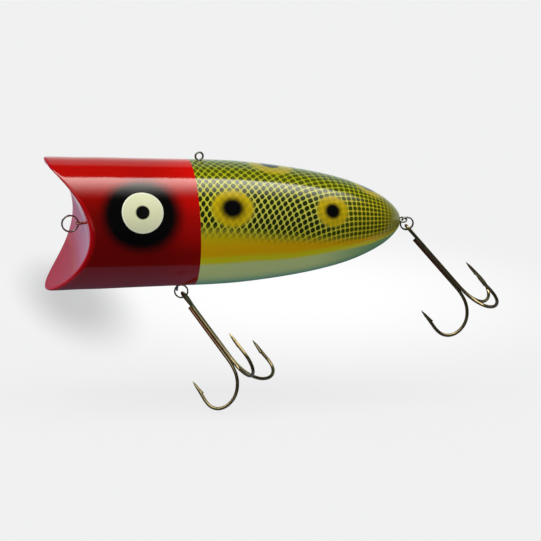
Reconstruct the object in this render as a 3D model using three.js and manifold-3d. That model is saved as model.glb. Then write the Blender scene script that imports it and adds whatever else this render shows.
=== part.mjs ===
// Topwater popper fishing lure: a turned wooden blank with a scooped mouth, four screw
// eyes, three split rings, two treble hooks, inlaid eyes and a keel ballast.
// Millimetres. +X runs from the mouth to the tail, +Z to the back of the lure, and the
// left flank faces +Y, the right flank -Y. The origin is the centroid of the whole lure, on
// the turning axis of the blank. Pieces are laid out with x measured from the lip plane, and
// the group carries the shift to the origin.
import * as THREE from 'three';
import { mergeVertices } from 'three/addons/utils/BufferGeometryUtils.js';
import Module from 'manifold-3d';

const wasm = await Module();
wasm.setup();

const rad = THREE.MathUtils.degToRad;
const vec = (x, y, z) => new THREE.Vector3(x, y, z);
// unit vectors turned from +Y by an angle in degrees, towards +Z or towards +X
const rolledY = (deg) => vec(0, Math.cos(rad(deg)), Math.sin(rad(deg)));
const yawedY = (deg) => vec(Math.sin(rad(deg)), Math.cos(rad(deg)), 0);

// ---- body dimensions ----
const ORIGIN_X = 66.36;           // lip plane to the origin
const PROFILE = [                 // [distance from lip plane, radius]
  [-0.6, 27.65], [4, 27.65], [12, 27.4], [22, 27.25], [38, 26.8], [56, 26.35], [70, 26.0],
  [79, 25.5], [87, 24.75], [95, 23.8], [103, 22.65], [111, 21.25], [118, 19.75], [124, 18.2],
  [130, 16.25], [135.5, 13.95], [140, 11.7], [143.6, 9.45], [146.3, 7.25], [148.3, 5.15],
  [149.6, 3.4],
];
const BODY_LENGTH = PROFILE.at(-1)[0];   // lip plane to tail flat
const BODY_SEGMENTS = 52;
const ENVELOPE_OVERRUN = 2;       // how far the offset envelopes pass both ends of the body
const MID_R = 26;                 // nominal body radius at the top, belly and inlaid eyes
const OUTSIDE_Z = 30;             // height clear of the body, where vertical cutters start

// mouth scoop: x = depth + k1 z + k2 z^2 + k3 z^3 - across y^2
const SCOOP = { depth: 15.8, k1: -0.0054, k2: -0.02282, k3: -4.96e-5, across: 0.00136 };
const SCOOP_CUTTER = { front: -25, halfHeight: 31, rows: 30, width: 64, steps: 16 };

const FIT_GAP = 0.3;              // clearance round the inlays and the ballast

// inlays: centre in x and in degrees above level, radius, and how far the piece
// reaches outside and inside the turned surface
const EYE = { x: 36.5, elevation: 21.8, radius: 8.8, outer: 0.15, inner: 0.9, segments: 36 };
const PUPIL = { radius: 2.72, outer: 0.25, inner: 0.45, segments: 24 };
const EYE_PLUG_LENGTH = 12;

const BALLAST = { x: 84, radius: 6.5, top: -10, bottom: -20.6, segments: 28 };
const PLUG_BLANK_LENGTH = 12;     // ballast plug before it is trimmed to the body
const PLUG_INSET = 0.02;          // plug face below the turned surface

// ---- fittings dimensions ----
const EYE_WIRE_R = 0.42;          // screw eye wire
const WIRE_SIDES = 8;
const THREAD = {
  length: 15, pitch: 2.2, segments: 10,
  crest: 0.78, valley: 0.58, lead: 0.62,   // radii; lead is the plain collar at the root
  collar: 0.5,                    // length of the plain collar
  taper: 3,                       // least length left without ridges
  setback: 0.4,                   // neck station to the root of the thread
  wireShort: 2,                   // the wire core stops this far before the thread tip
};
const LOOP = { start: -70, end: 238, steps: 18 };   // degrees round the loop from local +X

// neck: loop centre to the end of the straight shank
// shank: direction into the wood; plane: second direction in the plane of the loop
const SCREW_EYES = {
  nose: { centre: vec(14.18, 0, 0), loopR: 1.3, neck: 3.0, shank: vec(1, 0, 0), plane: rolledY(0) },
  tail: {
    centre: vec(151.75, 0, 0), loopR: 1.55, neck: 2.2, shank: vec(-1, 0, 0), plane: rolledY(16),
  },
  top: {
    centre: vec(63.6, 0, 28.6), loopR: 1.62, neck: 2.0, shank: vec(0, 0, -1), plane: yawedY(84),
  },
  belly: {
    centre: vec(55.9, 0, -27.6), loopR: 1.55, neck: 2.2, shank: vec(0, 0, 1), plane: yawedY(14),
  },
};
// extra depth of each pilot hole past the thread; mouth and tail are the overruns outside
const PILOT = { radius: 1.1, segments: 12, spare: 1.5, noseSpare: 2, mouth: 3, tail: 2 };
const RECESS = { radius: 2.4, floor: -25.3, segments: 20 };   // countersink for the belly eye

const RING_CHAMFER = 0.18, RING_SEGMENTS = 28;
const RING_PLAY = 0.14;           // slack between a ring and its screw eye wire
const NOSE_RING = { outerD: 7.5, innerD: 6.1, height: 1.1 };
const HOOK_RING = { outerD: 6.1, innerD: 4.8, height: 1.0 };

// ---- treble hook dimensions ----
// distances along a hook run from the outer end of its eye
const HOOK_R = 0.72;              // hook wire
const SHANK_OFFSET = 0.875;       // shank centre line to the treble axis
const EYE_TOP = 2.4;              // ring wire centre to the outer end of the hook eye
const SHANK_MID = 24;             // station part way down every shank
const SINGLE_TOP = 7.4;           // where the brazed single hook starts
const BEND = [                    // [radius from the treble axis, distance along the hook]
  [SHANK_OFFSET, 35.0], [1.0, 37.2], [1.35, 39.6], [2.05, 42.1], [3.35, 44.6], [5.4, 47.0],
  [8.1, 48.8], [11.25, 49.6], [14.35, 49.35], [16.95, 47.95], [18.55, 45.6], [19.0, 42.7],
  [18.75, 39.4], [18.5, 36.5],
];
const POINT = [18.45, 32.6];      // same columns as BEND
const TIP = [[0.34, 0.74], [0.7, 0.45], [1.0, 0.07]];   // [fraction from bend to point, radius]
const DOUBLE_ANGLE = 120;         // from the single hook to each bend of the double
const DOUBLE_SHANK_TOP = 8.6;     // where the shanks of the double open into its eye
const HOOK_EYE = [                // half of the eye: [offset from its middle, distance along]
  [0.95, 7.0], [1.5, 5.3], [1.9, 3.9], [2.0, 2.7], [1.68, 1.62], [0.98, 0.9], [0, HOOK_R],
];
const BARB = { radius: 0.42, length: 3.4, sides: 5, lean: -14, out: 17.64, along: 37.6 };
const BRAZE = {
  start: SINGLE_TOP + 0.6, end: 30,
  inner: 0.27, outer: 0.56,       // reach outward from the midpoint of the two shanks
  innerHalf: 0.025, outerHalf: 0.15,       // half widths there
};

// ---- materials ----
const finish = (options) => new THREE.MeshStandardMaterial(options);
const MATERIALS = {
  paint: finish({ color: 0xa8a02a, roughness: 0.25, metalness: 0 }),
  cream: finish({ color: 0xdfe0b4, roughness: 0.3, metalness: 0 }),
  black: finish({ color: 0x0a0a0a, roughness: 0.2, metalness: 0 }),
  lead: finish({ color: 0x62656a, roughness: 0.6, metalness: 0.6 }),
  filler: finish({ color: 0x8aa48a, roughness: 0.5, metalness: 0 }),
  screwNickel: finish({ color: 0x6a6f70, roughness: 0.3, metalness: 1 }),
  ringNickel: finish({ color: 0x6a6f70, roughness: 0.25, metalness: 1 }),
  bronze: finish({ color: 0x4b3d22, roughness: 0.35, metalness: 1 }),
  solder: finish({ color: 0x8d8a80, roughness: 0.4, metalness: 1 }),
};

// ---- helpers ----
function solid(geometry) {
  const bare = geometry.clone();
  bare.deleteAttribute('normal');
  bare.deleteAttribute('uv');
  const merged = mergeVertices(bare, 1e-4);
  return new wasm.Manifold(new wasm.Mesh({
    numProp: 3,
    vertProperties: new Float32Array(merged.attributes.position.array),
    triVerts: new Uint32Array(merged.index.array),
  }));
}

function geometryOf(manifold) {
  const mesh = manifold.getMesh();
  const geometry = new THREE.BufferGeometry();
  const positions = new Float32Array(mesh.vertProperties);
  geometry.setAttribute('position', new THREE.BufferAttribute(positions, 3));
  geometry.setIndex(new THREE.BufferAttribute(new Uint32Array(mesh.triVerts), 1));
  geometry.computeVertexNormals();
  return geometry;
}

const lure = new THREE.Group();
lure.position.set(-ORIGIN_X, 0, 0);

function piece(name, geometry, material, parent = lure) {
  const mesh = new THREE.Mesh(geometry, material);
  mesh.name = name;
  parent.add(mesh);
  return mesh;
}

function orient(object, xAxis, yAxis, zAxis, position) {
  object.setRotationFromMatrix(new THREE.Matrix4().makeBasis(xAxis, yAxis, zAxis));
  object.position.copy(position);
}

// a lathe about +X; the profile is [x, radius] in order of growing x
function latheX(profile, segments) {
  const points = profile.map(([x, radius]) => new THREE.Vector2(radius, x));
  return new THREE.LatheGeometry(points, segments).rotateZ(-Math.PI / 2);
}

const cylinder = (radius, length, segments) =>
  new THREE.CylinderGeometry(radius, radius, length, segments);

const cylinderX = (radius, x0, x1, segments) =>
  cylinder(radius, x1 - x0, segments).rotateZ(Math.PI / 2).translate((x0 + x1) / 2, 0, 0);

const cylinderZ = (x, radius, z0, z1, segments) =>
  cylinder(radius, z1 - z0, segments).rotateX(Math.PI / 2).translate(x, 0, (z0 + z1) / 2);

// wire path through given stations, without resampling, mitred at each station
class RodPath extends THREE.Curve {
  constructor(points) {
    super();
    this.points = points;
  }

  getPoint(t, target = new THREE.Vector3()) {
    const spans = this.points.length - 1;
    const k = Math.min(spans - 1, Math.floor(t * spans + 1e-9));
    const fraction = Math.min(1, Math.max(0, t * spans - k));
    return target.lerpVectors(this.points[k], this.points[k + 1], fraction);
  }

  getUtoTmapping(u) {
    return u;
  }

  getTangent(t, target = new THREE.Vector3()) {
    const spans = this.points.length - 1;
    const k = Math.round(t * spans);
    const here = this.points[k];
    target.set(0, 0, 0);
    if (k > 0) target.add(here.clone().sub(this.points[k - 1]).normalize());
    if (k < spans) target.add(this.points[k + 1].clone().sub(here).normalize());
    return target.normalize();
  }
}

// scales each ring of rod vertices about its own station to the radius given there
function taperRod(geometry, path, radius, radii) {
  const { points } = path;
  const tangents = points.map((_, i) => path.getTangent(i / (points.length - 1)));
  const position = geometry.attributes.position;
  const vertex = new THREE.Vector3();
  const offset = new THREE.Vector3();
  for (let i = 0; i < position.count; i++) {
    vertex.fromBufferAttribute(position, i);
    let leastError = 1e9;
    let station = 0;
    points.forEach((point, j) => {
      offset.subVectors(vertex, point);
      const error = Math.abs(offset.length() - radius) + Math.abs(offset.dot(tangents[j]));
      if (error < leastError) {
        leastError = error;
        station = j;
      }
    });
    vertex.sub(points[station]).multiplyScalar(radii[station] / radius).add(points[station]);
    position.setXYZ(i, vertex.x, vertex.y, vertex.z);
  }
}

// round wire through the points; radii, if given, holds one radius per point
function rod(points, radius, radii = null) {
  const section = new THREE.Shape(Array.from({ length: WIRE_SIDES }, (_, i) => {
    const angle = (i + 0.5) / WIRE_SIDES * 2 * Math.PI;
    return new THREE.Vector2(radius * Math.cos(angle), radius * Math.sin(angle));
  }));
  section.closePath();
  const path = new RodPath(points);
  const geometry = new THREE.ExtrudeGeometry(section, {
    steps: points.length - 1, extrudePath: path, bevelEnabled: false,
  });
  if (radii) taperRod(geometry, path, radius, radii);
  return geometry;
}

// ---- body ----
// the turned surface moved outward by an offset and run past both ends
function envelope(offset) {
  const front = PROFILE[0][0] - ENVELOPE_OVERRUN;
  return solid(latheX([
    [front, 0],
    [front, PROFILE[0][1] + offset],
    ...PROFILE.slice(1).map(([x, radius]) => [x, radius + offset]),
    [BODY_LENGTH + ENVELOPE_OVERRUN, 0],
  ], BODY_SEGMENTS));
}

// a side profile run across the mouth, then bowed a little forward at both sides
function scoopCutter() {
  const { depth, k1, k2, k3, across } = SCOOP;
  const { front, halfHeight, rows, width, steps } = SCOOP_CUTTER;
  const side = new THREE.Shape();
  side.moveTo(front, -halfHeight);
  for (let i = 0; i <= rows; i++) {
    const z = -halfHeight + 2 * halfHeight * i / rows;
    side.lineTo(depth + k1 * z + k2 * z * z + k3 * z * z * z, z);
  }
  side.lineTo(front, halfHeight);
  const geometry = new THREE.ExtrudeGeometry(side, { depth: width, steps, bevelEnabled: false });
  geometry.translate(0, 0, -width / 2);
  geometry.rotateX(Math.PI / 2);  // shape height becomes +Z, the run becomes -Y
  const position = geometry.attributes.position;
  for (let i = 0; i < position.count; i++) {
    const y = position.getY(i);
    position.setX(i, position.getX(i) - across * y * y);
  }
  return solid(geometry);
}

// a plug along the outward normal of one inlaid eye; side is 1 for left, -1 for right
function eyePlug(side, radius, segments) {
  const geometry = cylinder(radius, EYE_PLUG_LENGTH, segments);
  geometry.translate(0, MID_R, 0);
  geometry.rotateX(rad(side > 0 ? EYE.elevation : 180 - EYE.elevation));
  geometry.translate(EYE.x, 0, 0);
  return solid(geometry);
}

function pilotHoles() {
  const { radius, segments, spare, noseSpare, mouth, tail } = PILOT;
  const { top, belly } = SCREW_EYES;
  const inner = MID_R - THREAD.length - spare;
  return [
    cylinderX(radius, SCOOP.depth - mouth, SCOOP.depth + THREAD.length + noseSpare, segments),
    cylinderX(radius, BODY_LENGTH - THREAD.length - spare, BODY_LENGTH + tail, segments),
    cylinderZ(top.centre.x, radius, inner, OUTSIDE_Z, segments),
    cylinderZ(belly.centre.x, radius, -OUTSIDE_Z, -inner, segments),
  ].map(solid);
}

function bodyCutters() {
  const recess = cylinderZ(
    SCREW_EYES.belly.centre.x, RECESS.radius, -OUTSIDE_Z, RECESS.floor, RECESS.segments);
  const ballastBore = cylinderZ(
    BALLAST.x, BALLAST.radius + FIT_GAP, -OUTSIDE_Z, BALLAST.top + FIT_GAP, BALLAST.segments);
  const eyeSeats = [1, -1].map((side) =>
    eyePlug(side, EYE.radius + FIT_GAP, EYE.segments).subtract(envelope(-EYE.inner - FIT_GAP)));
  return [scoopCutter(), ...pilotHoles(), solid(recess), solid(ballastBore), ...eyeSeats];
}

function addBody() {
  const profile = [[PROFILE[0][0], 0], ...PROFILE, [BODY_LENGTH, 0]];
  const blank = solid(latheX(profile, BODY_SEGMENTS));
  const body = bodyCutters().reduce((rest, cutter) => rest.subtract(cutter), blank);
  piece('body', geometryOf(body), MATERIALS.paint);
}

// ---- inlaid eyes, which follow the turned surface ----
function addInlaidEye(tag, side) {
  const seat = eyePlug(side, PUPIL.radius + FIT_GAP, PUPIL.segments)
    .subtract(envelope(-PUPIL.inner));
  const disc = eyePlug(side, EYE.radius, EYE.segments)
    .intersect(envelope(EYE.outer))
    .subtract(envelope(-EYE.inner))
    .subtract(seat);
  const pupil = eyePlug(side, PUPIL.radius, PUPIL.segments)
    .intersect(envelope(PUPIL.outer))
    .subtract(envelope(-PUPIL.inner + FIT_GAP));
  piece(`${tag}_eye_disc`, geometryOf(disc), MATERIALS.cream);
  piece(`${tag}_pupil`, geometryOf(pupil), MATERIALS.black);
}

// ---- ballast: a slug, and a plug below it trimmed to the belly ----
function addBallast() {
  const { x, radius, top, bottom, segments } = BALLAST;
  const plugTop = bottom - FIT_GAP;
  const plug = solid(cylinderZ(x, radius, plugTop - PLUG_BLANK_LENGTH, plugTop, segments));
  piece('ballast_slug', cylinderZ(x, radius, bottom, top, segments), MATERIALS.lead);
  piece('ballast_plug', geometryOf(plug.intersect(envelope(-PLUG_INSET))), MATERIALS.filler);
}

// ---- screw eyes ----
// turned ridges on a tapering core, from x = 0 at the root
function threadProfile() {
  const { length, pitch, crest, valley, lead, collar, taper } = THREAD;
  const profile = [[0, 0], [0, lead], [collar, lead]];
  const ridges = Math.floor((length - taper) / pitch);
  for (let i = 0; i < ridges; i++) {
    const x = collar + i * pitch;
    profile.push([x + pitch / 2, crest], [x + pitch, valley]);
  }
  profile.push([length, 0]);
  return profile;
}

// local frame: the loop centre is the origin, the shank runs along -Z into the wood, and
// the loop lies in the XZ plane
function screwEyeGeometry(loopR, neck) {
  const root = neck + THREAD.setback;
  const points = [vec(0, 0, -(root + THREAD.length - THREAD.wireShort)), vec(0, 0, -neck)];
  for (let i = 0; i <= LOOP.steps; i++) {
    const angle = rad(LOOP.start + (LOOP.end - LOOP.start) * i / LOOP.steps);
    points.push(vec(loopR * Math.cos(angle), 0, loopR * Math.sin(angle)));
  }
  const thread = latheX(threadProfile(), THREAD.segments);
  thread.rotateY(Math.PI / 2);    // +X becomes -Z
  thread.translate(0, 0, -root);
  return geometryOf(solid(rod(points, EYE_WIRE_R)).add(solid(thread)));
}

function addScrewEye(place, { centre, loopR, neck, shank, plane }) {
  const geometry = screwEyeGeometry(loopR, neck);
  const mesh = piece(`${place}_screw_eye`, geometry, MATERIALS.screwNickel);
  const zAxis = shank.clone().negate();
  orient(mesh, plane, zAxis.clone().cross(plane), zAxis, centre);
}

// centre of the loop wire at its far side from the shank
const pivotOf = ({ centre, shank, loopR }) => centre.clone().addScaledVector(shank, -loopR);

// ---- split rings: plain rings with chamfered edges, flat on both sides, local axis +Y ----
function ringGeometry({ outerD, innerD, height }) {
  const outer = outerD / 2, inner = innerD / 2, half = height / 2;
  const chamfer = RING_CHAMFER;
  const profile = [               // [radius, y], closed
    [inner, -half + chamfer], [inner + chamfer, -half],
    [outer - chamfer, -half], [outer, -half + chamfer],
    [outer, half - chamfer], [outer - chamfer, half],
    [inner + chamfer, half], [inner, half - chamfer],
    [inner, -half + chamfer],
  ];
  const points = profile.map(([radius, y]) => new THREE.Vector2(radius, y));
  return new THREE.LatheGeometry(points, RING_SEGMENTS);
}

// toCentre: rough direction from the screw eye wire to the ring centre
function hangRing(place, size, toCentre, normal) {
  const direction = toCentre.clone().projectOnPlane(normal).normalize();
  const reach = size.innerD / 2 - EYE_WIRE_R - RING_PLAY;
  const centre = pivotOf(SCREW_EYES[place]).addScaledVector(direction, reach);
  const mesh = piece(`${place}_split_ring`, ringGeometry(size), MATERIALS.ringNickel);
  orient(mesh, direction, normal, direction.clone().cross(normal), centre);
  return { centre, normal };
}

// ---- treble hooks ----
// local frame: the origin is the ring wire centre, +Z runs down the shank, +X is the axis of
// the hook eye and also the direction of the single hook's bend
function bendPoints(angle, shankStations = []) {
  const [lastR, lastAlong] = BEND.at(-1);
  const tip = TIP.map(([fraction]) =>
    [lastR + (POINT[0] - lastR) * fraction, lastAlong + (POINT[1] - lastAlong) * fraction]);
  const shank = shankStations.map((along) => [SHANK_OFFSET, along]);
  return [...shank, ...BEND, ...tip].map(([radius, along]) =>
    vec(radius * Math.cos(rad(angle)), radius * Math.sin(rad(angle)), along - EYE_TOP));
}

// hook wire drawn to a point at its last end, or at both ends
function hookWire(points, bothEnds) {
  const radii = points.map((_, i) => {
    const toLast = points.length - 1 - i;
    const fromEnd = bothEnds ? Math.min(i, toLast) : toLast;
    return TIP.at(-1 - fromEnd)?.[1] ?? HOOK_R;
  });
  return solid(rod(points, HOOK_R, radii));
}

// a sliver raised on the inner side of the spear, pointing back towards the bend
function barb(angle) {
  const geometry = new THREE.ConeGeometry(BARB.radius, BARB.length, BARB.sides);
  geometry.rotateX(Math.PI / 2);  // cone tip towards +Z
  geometry.rotateY(rad(BARB.lean));
  geometry.translate(BARB.out, 0, BARB.along - EYE_TOP);
  geometry.rotateZ(rad(angle));
  return solid(geometry);
}

function singleHook() {
  const points = bendPoints(0, [SINGLE_TOP, SHANK_MID]);
  return geometryOf(hookWire(points, false).add(barb(0)));
}

// one wire: point, bend, shank, round the eye, and back down to the other point
function doubleHook() {
  const x = SHANK_OFFSET * Math.cos(rad(DOUBLE_ANGLE));
  const shankY = SHANK_OFFSET * Math.sin(rad(DOUBLE_ANGLE));
  const half = [[shankY, SHANK_MID], [shankY, DOUBLE_SHANK_TOP], ...HOOK_EYE];
  const otherHalf = half.slice(0, -1).reverse().map(([y, along]) => [-y, along]);
  const points = [
    ...bendPoints(DOUBLE_ANGLE).reverse(),
    ...[...half, ...otherHalf].map(([y, along]) => vec(x, y, along - EYE_TOP)),
    ...bendPoints(-DOUBLE_ANGLE),
  ];
  return geometryOf(hookWire(points, true).add(barb(DOUBLE_ANGLE)).add(barb(-DOUBLE_ANGLE)));
}

// a fillet strip in the groove between the single hook and one shank of the double
function braze(side) {
  const { start, end, innerHalf, outerHalf } = BRAZE;
  const grooveAngle = DOUBLE_ANGLE / 2;
  const midpoint = SHANK_OFFSET * 0.5;     // between the two shank centre lines
  const inner = midpoint + BRAZE.inner, outer = midpoint + BRAZE.outer;
  // section: x outward from the treble axis, y along the line joining the two shanks
  const section = new THREE.Shape();
  section.moveTo(inner, -innerHalf);
  section.lineTo(outer, -outerHalf);
  section.lineTo(outer, outerHalf);
  section.lineTo(inner, innerHalf);
  section.closePath();
  const geometry = new THREE.ExtrudeGeometry(section, {
    depth: end - start, steps: 1, bevelEnabled: false,
  });
  geometry.translate(0, 0, start - EYE_TOP);
  geometry.rotateZ(rad(grooveAngle * side));
  return geometry;
}

// shankDir and eyeAxis set the hook at rest; it hangs at a place on the ring given in
// degrees below level towards the tail, and swings about the ring wire there
function hangTreble(tag, ring, { shankDir, eyeAxis, ringDegrees }) {
  const level = vec(1, 0, 0).projectOnPlane(ring.normal).normalize();
  const down = ring.normal.clone().cross(level).normalize();
  if (down.z > 0) down.negate();
  const cos = Math.cos(rad(ringDegrees)), sin = Math.sin(rad(ringDegrees));
  const outward = level.clone().multiplyScalar(cos).addScaledVector(down, sin);
  const tangent = down.clone().multiplyScalar(cos).addScaledVector(level, -sin);
  const wireRadius = (HOOK_RING.outerD + HOOK_RING.innerD) / 4;
  const pivot = ring.centre.clone().addScaledVector(outward, wireRadius);

  const zAxis = shankDir.clone().normalize();
  const xAxis = eyeAxis.clone().projectOnPlane(zAxis).normalize();
  const treble = new THREE.Group();
  orient(treble, xAxis, zAxis.clone().cross(xAxis), zAxis, pivot);
  lure.add(treble);
  piece(`${tag}_double_hook`, doubleHook(), MATERIALS.bronze, treble);
  piece(`${tag}_single_hook`, singleHook(), MATERIALS.bronze, treble);
  piece(`${tag}_braze_front`, braze(1), MATERIALS.solder, treble);
  piece(`${tag}_braze_back`, braze(-1), MATERIALS.solder, treble);
  return { pivot, tangent, u: zAxis, p: xAxis, ring: ring.centre };
}

// ---- assembly ----
addBody();
addInlaidEye('left', 1);
addInlaidEye('right', -1);
addBallast();
for (const [place, screwEye] of Object.entries(SCREW_EYES)) addScrewEye(place, screwEye);

const noseRing = hangRing('nose', NOSE_RING, vec(-1, 0, -0.05), vec(0, 1, 0));
const bellyRing = hangRing('belly', HOOK_RING, vec(0.966, 0, -0.26), yawedY(8));
const tailRing = hangRing('tail', HOOK_RING, vec(0.17, 0, -0.98), rolledY(8));

const belly = hangTreble('belly', bellyRing, {
  shankDir: vec(0.4989, -0.5627, -0.6591),
  eyeAxis: vec(-0.722, 0.1508, -0.6752),
  ringDegrees: 60,
});
const tail = hangTreble('tail', tailRing, {
  shankDir: vec(0.6622, -0.17, -0.7298),
  eyeAxis: vec(-0.7343, 0.047, -0.6772),
  ringDegrees: 75,
});

// pivots and axes of the joints, before the shift to the origin
lure.userData.frames = {
  belly,
  tail,
  nosePivot: pivotOf(SCREW_EYES.nose),
  bellyPivot: pivotOf(SCREW_EYES.belly),
  tailPivot: pivotOf(SCREW_EYES.tail),
  noseRing,
  bellyRing,
  tailRing,
  bellyTangent: SCREW_EYES.belly.plane,
  tailTangent: SCREW_EYES.tail.plane,
};

export default lure;
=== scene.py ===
"""A painted fishing lure: red head, netted yellow body, two treble hooks, on a pale floor.

The body is turned about the x axis. The scooped mouth looks to -x, the tail to +x, the back is
up (+z) and the camera stands on the -y side. Sizes are in mm; x stations count from the lip
plane. Angles round the body are degrees above the flank: -90 belly, 0 flank, 90 back.
"""
import bpy
import bmesh
from math import pi, sin, cos, radians, copysign
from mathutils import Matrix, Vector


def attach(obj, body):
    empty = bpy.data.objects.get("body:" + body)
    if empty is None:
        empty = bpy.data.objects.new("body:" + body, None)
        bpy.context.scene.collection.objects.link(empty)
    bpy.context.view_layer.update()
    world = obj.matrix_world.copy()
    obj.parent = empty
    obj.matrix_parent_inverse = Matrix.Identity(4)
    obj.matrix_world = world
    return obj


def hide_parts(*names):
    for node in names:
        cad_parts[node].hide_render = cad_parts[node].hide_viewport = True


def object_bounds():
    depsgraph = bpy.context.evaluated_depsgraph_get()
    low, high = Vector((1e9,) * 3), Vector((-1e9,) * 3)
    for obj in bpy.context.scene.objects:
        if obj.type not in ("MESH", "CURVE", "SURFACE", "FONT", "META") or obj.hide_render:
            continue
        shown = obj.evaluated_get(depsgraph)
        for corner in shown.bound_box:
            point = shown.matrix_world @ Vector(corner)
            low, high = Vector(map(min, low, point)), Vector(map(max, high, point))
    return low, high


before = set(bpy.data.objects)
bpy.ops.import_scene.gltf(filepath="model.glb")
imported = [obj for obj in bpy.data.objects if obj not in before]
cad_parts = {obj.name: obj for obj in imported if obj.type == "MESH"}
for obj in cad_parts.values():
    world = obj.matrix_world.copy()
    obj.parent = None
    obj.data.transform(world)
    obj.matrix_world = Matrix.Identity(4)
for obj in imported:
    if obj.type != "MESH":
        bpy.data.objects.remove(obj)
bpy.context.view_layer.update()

from types import SimpleNamespace
from mathutils import Vector, Matrix

MM = 0.001
ORIGIN_X = 66.36                 # station of the scene origin
X_AXIS = Vector((1, 0, 0))
Y_AXIS = Vector((0, 1, 0))
Z_AXIS = Vector((0, 0, 1))


def point(x, y, z):
    """scene point of a station x and offsets y, z, all in mm"""
    return Vector(((x - ORIGIN_X) * MM, y * MM, z * MM))


# ---------------------------------------------------------------- driving sizes
# turned outline: station, radius
PROFILE = [
    (-0.6, 27.65), (4, 27.65), (12, 27.4), (22, 27.25), (38, 26.8), (56, 26.35), (70, 26.0),
    (79, 25.5), (87, 24.75), (95, 23.8), (103, 22.65), (111, 21.25), (118, 19.75), (124, 18.2),
    (130, 16.25), (135.5, 13.95), (140, 11.7), (143.6, 9.45), (146.3, 7.25), (148.3, 5.15),
    (149.6, 3.4)]
BODY_END = PROFILE[-1][0]
PROFILE_INSET = 0.03             # the skin lies this far inside the outline

LIP_X = -1.05                    # station where the lips are cut off
LIP_BLEND = 0.9                  # softness between scoop and lip plane
SCOOP_DEPTH = 15.8
SCOOP_Z, SCOOP_ZZ, SCOOP_ZZZ, SCOOP_YY = 0.0054, 0.02282, 4.96e-5, 0.00136

EYE_X, EYE_ANGLE = 36.5, 21.8    # centre of the painted eyes
BELLY_EYE_X, BACK_EYE_X = 55.9, 63.6
EYE_WIRE = 0.42                  # radius of the screw eye wire


# ---------------------------------------------------------------- shader arithmetic
class Value:
    """An output socket that can be used in formulas."""
    def __init__(self, socket):
        self.socket = socket

    def __add__(self, other):
        return calc("ADD", self, other)
    __radd__ = __add__

    def __sub__(self, other):
        return calc("SUBTRACT", self, other)

    def __rsub__(self, other):
        return calc("SUBTRACT", other, self)

    def __mul__(self, other):
        return calc("MULTIPLY", self, other)

    def __truediv__(self, other):
        return calc("DIVIDE", self, other)

    def __neg__(self):
        return self * -1.0

    def abs(self):
        return calc("ABSOLUTE", self)

    def sqrt(self):
        return calc("SQRT", self)

    def pow(self, power):
        return calc("POWER", self, power)

    def fract(self):
        return calc("FRACT", self)

    def max(self, other):
        return calc("MAXIMUM", self, other)


def link(source, socket):
    """feeds a socket with a Value, an RGB tuple, a vector or a number"""
    if isinstance(source, Value):
        socket.id_data.links.new(source.socket, socket)
    elif isinstance(source, tuple):
        socket.default_value = (*source, 1.0)
    else:
        socket.default_value = source


def add_node(tree, kind, inputs=None, **settings):
    node = tree.nodes.new(kind)
    for name, setting in settings.items():
        setattr(node, name, setting)
    for key, source in (inputs or {}).items():
        link(source, node.inputs[key])
    return node


def compute(kind, inputs, output=0, **settings):
    """adds a node beside the values that feed it and returns one output"""
    tree = next(v.socket.id_data for v in inputs.values() if isinstance(v, Value))
    return Value(add_node(tree, kind, inputs, **settings).outputs[output])


def calc(operation, *terms):
    return compute("ShaderNodeMath", dict(enumerate(terms)), operation=operation)


def ramp(x, lo, hi, at_lo, at_hi, kind="SMOOTHSTEP"):
    return compute("ShaderNodeMapRange",
                   {"Value": x, "From Min": lo, "From Max": hi, "To Min": at_lo, "To Max": at_hi},
                   interpolation_type=kind)


def rise(x, lo, hi):
    """0 below lo, 1 above hi"""
    return ramp(x, lo, hi, at_lo=0.0, at_hi=1.0)


def fall(x, lo, hi):
    """1 below lo, 0 above hi"""
    return ramp(x, lo, hi, at_lo=1.0, at_hi=0.0)


def mix(factor, first, second, blend="MIX"):
    return compute("ShaderNodeMix", {0: factor, 6: first, 7: second}, output=2,
                   data_type="RGBA", blend_type=blend)


def multiply(colour, other):
    return mix(1.0, colour, other, blend="MULTIPLY")


def layered(colour, layers):
    """lays (mask, colour) coats over a colour, the first one lowest"""
    for mask, coat in layers:
        colour = mix(mask, colour, coat)
    return colour


def grey(level):
    return (level,) * 3


def noise(coords, scale, detail=2.0, rough=0.5):
    return compute("ShaderNodeTexNoise", {"Vector": coords, "Scale": scale, "Detail": detail,
                                          "Roughness": rough}, output="Fac")


def curve(x, points):
    """piecewise linear function of x through (x, y) points"""
    xs, ys = zip(*points)
    x0, x_span = xs[0], xs[-1] - xs[0]
    y0, y_span = min(ys), max(ys) - min(ys)
    knots = [((a - x0) / x_span, (b - y0) / y_span) for a, b in points]
    node = add_node(x.socket.id_data, "ShaderNodeFloatCurve",
                    {"Factor": 1.0, "Value": (x - x0) / x_span})
    line = node.mapping.curves[0]
    line.points[0].location = knots[0]
    line.points[-1].location = knots[-1]
    for knot in knots[1:-1]:
        line.points.new(*knot)
    for knot in line.points:
        knot.handle_type = "VECTOR"
    node.mapping.update()
    return Value(node.outputs[0]) * y_span + y0


def split(vector):
    node = add_node(vector.socket.id_data, "ShaderNodeSeparateXYZ", {0: vector})
    return [Value(output) for output in node.outputs]


def length(a, b):
    return (a * a + b * b).sqrt()


def arc(angle, centre, radius):
    """distance round the body from an angle, mm"""
    return (angle - centre) * (pi / 180) * radius


def mix_shader(factor, first, second):
    return compute("ShaderNodeMixShader", {0: factor, 1: first, 2: second})


def glow(tree, kind, colour, strength):
    """an emission or background shader"""
    return Value(add_node(tree, kind, {0: colour, 1: strength}).outputs[0])


def empty_tree(owner):
    owner.use_nodes = True
    owner.node_tree.nodes.clear()
    return owner.node_tree


def new_material(name):
    """returns the material and its object coordinates"""
    mat = bpy.data.materials.new(name)
    tree = empty_tree(mat)
    return mat, Value(add_node(tree, "ShaderNodeTexCoord").outputs["Object"])


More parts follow.
